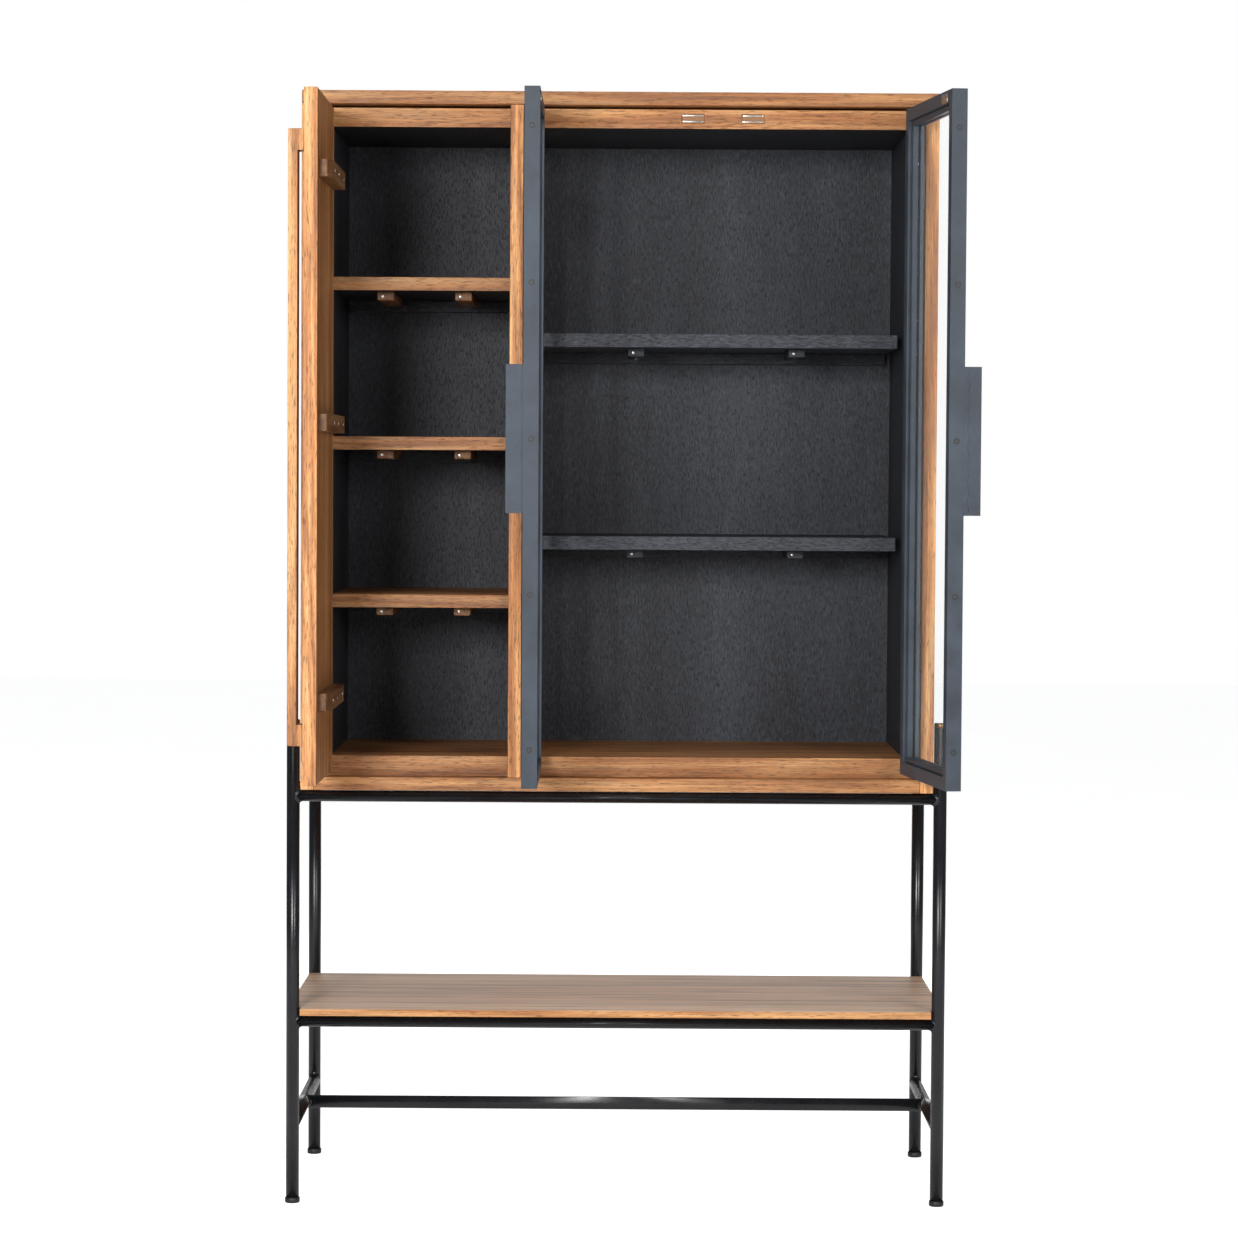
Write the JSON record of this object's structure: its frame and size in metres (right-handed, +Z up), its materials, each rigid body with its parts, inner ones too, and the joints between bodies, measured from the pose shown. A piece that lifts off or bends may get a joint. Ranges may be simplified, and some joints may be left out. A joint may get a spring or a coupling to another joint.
{
  "type": "display cabinet on stand",
  "caption": "Tall teak cabinet with a wood door and glazed steel doors, standing open on a black round-tube base with a lower shelf.",
  "frame": {"origin": "on the floor, centre of the floor area covered with the doors standing open as at rest", "axes": "+Z up, +X to the right seen from the front, +Y towards the back; the doors face -Y"},
  "size_m": [1.123, 0.7826, 1.859],
  "materials": {
    "teak": "satin open-grain oiled reclaimed teak",
    "black_wood": "black-stained open-grain wood, matt",
    "black_steel": "semi-gloss black powder coat",
    "grey_steel": "blue-grey satin steel",
    "bright_steel": "bright zinc-plated steel",
    "bronze": "dark bronze cap",
    "black_plastic": "moulded matt black",
    "clear_glass": "clear float glass"
  },
  "bodies": {
    "root": {"leg_front_left": "black_steel", "glide_front_left": "black_plastic", "leg_cap_front_left": "bronze", "leg_rear_left": "black_steel", "glide_rear_left": "black_plastic", "leg_cap_rear_left": "bronze", "leg_front_right": "black_steel", "glide_front_right": "black_plastic", "leg_cap_front_right": "bronze", "leg_rear_right": "black_steel", "glide_rear_right": "black_plastic", "leg_cap_rear_right": "bronze", "top_rail_left": "black_steel", "top_rail_right": "black_steel", "top_rail_front": "black_steel", "top_rail_rear": "black_steel", "shelf_rail_left": "black_steel", "shelf_rail_right": "black_steel", "shelf_rail_front": "black_steel", "shelf_rail_rear": "black_steel", "stretcher_left": "black_steel", "stretcher_right": "black_steel", "stretcher_centre": "black_steel", "lower_shelf": "teak", "top_board": "teak", "bottom_board": "teak", "side_board_left": "teak", "side_board_right": "teak", "divider": "teak", "floor_board_left": "teak", "floor_board_right": "teak", "ceiling_board_left": "teak", "ceiling_board_right": "teak", "left_shelf_1": "teak", "left_shelf_2": "teak", "left_shelf_3": "teak", "inner_side_left": "black_wood", "inner_side_right": "black_wood", "back_panel": "black_wood", "right_shelf_1": "black_wood", "right_shelf_2": "black_wood", "magnetic_catch_left": "bright_steel", "magnetic_catch_right": "bright_steel", "left_door_hinge_top": "bright_steel", "left_door_hinge_bottom": "bright_steel", "middle_door_hinge_top": "bright_steel", "middle_door_hinge_bottom": "bright_steel", "right_door_hinge_top": "bright_steel", "right_door_hinge_bottom": "bright_steel"},
    "left_door": {"left_door_panel": "teak", "left_door_batten_1": "teak", "left_door_batten_2": "teak", "left_door_batten_3": "teak", "left_door_handle": "teak"},
    "middle_door": {"middle_door_frame": "grey_steel", "middle_door_glass": "clear_glass", "middle_door_handle": "grey_steel"},
    "right_door": {"right_door_frame": "grey_steel", "right_door_glass": "clear_glass", "right_door_handle": "grey_steel"}
  },
  "joints": [
    {"name": "left_door_hinge", "type": "hinge", "parent": "root", "child": "left_door", "pos_m": [-0.51097, -0.06219, 1.28], "axis": [0, 0, 1], "range_deg": [-20, 90]},
    {"name": "middle_door_hinge", "type": "hinge", "parent": "root", "child": "middle_door", "pos_m": [-0.16497, -0.06219, 1.28], "axis": [0, 0, 1], "range_deg": [-20, 90]},
    {"name": "right_door_hinge", "type": "hinge", "parent": "root", "child": "right_door", "pos_m": [0.49503, -0.06219, 1.28], "axis": [0, 0, 1], "range_deg": [-98, 12]}
  ]
}
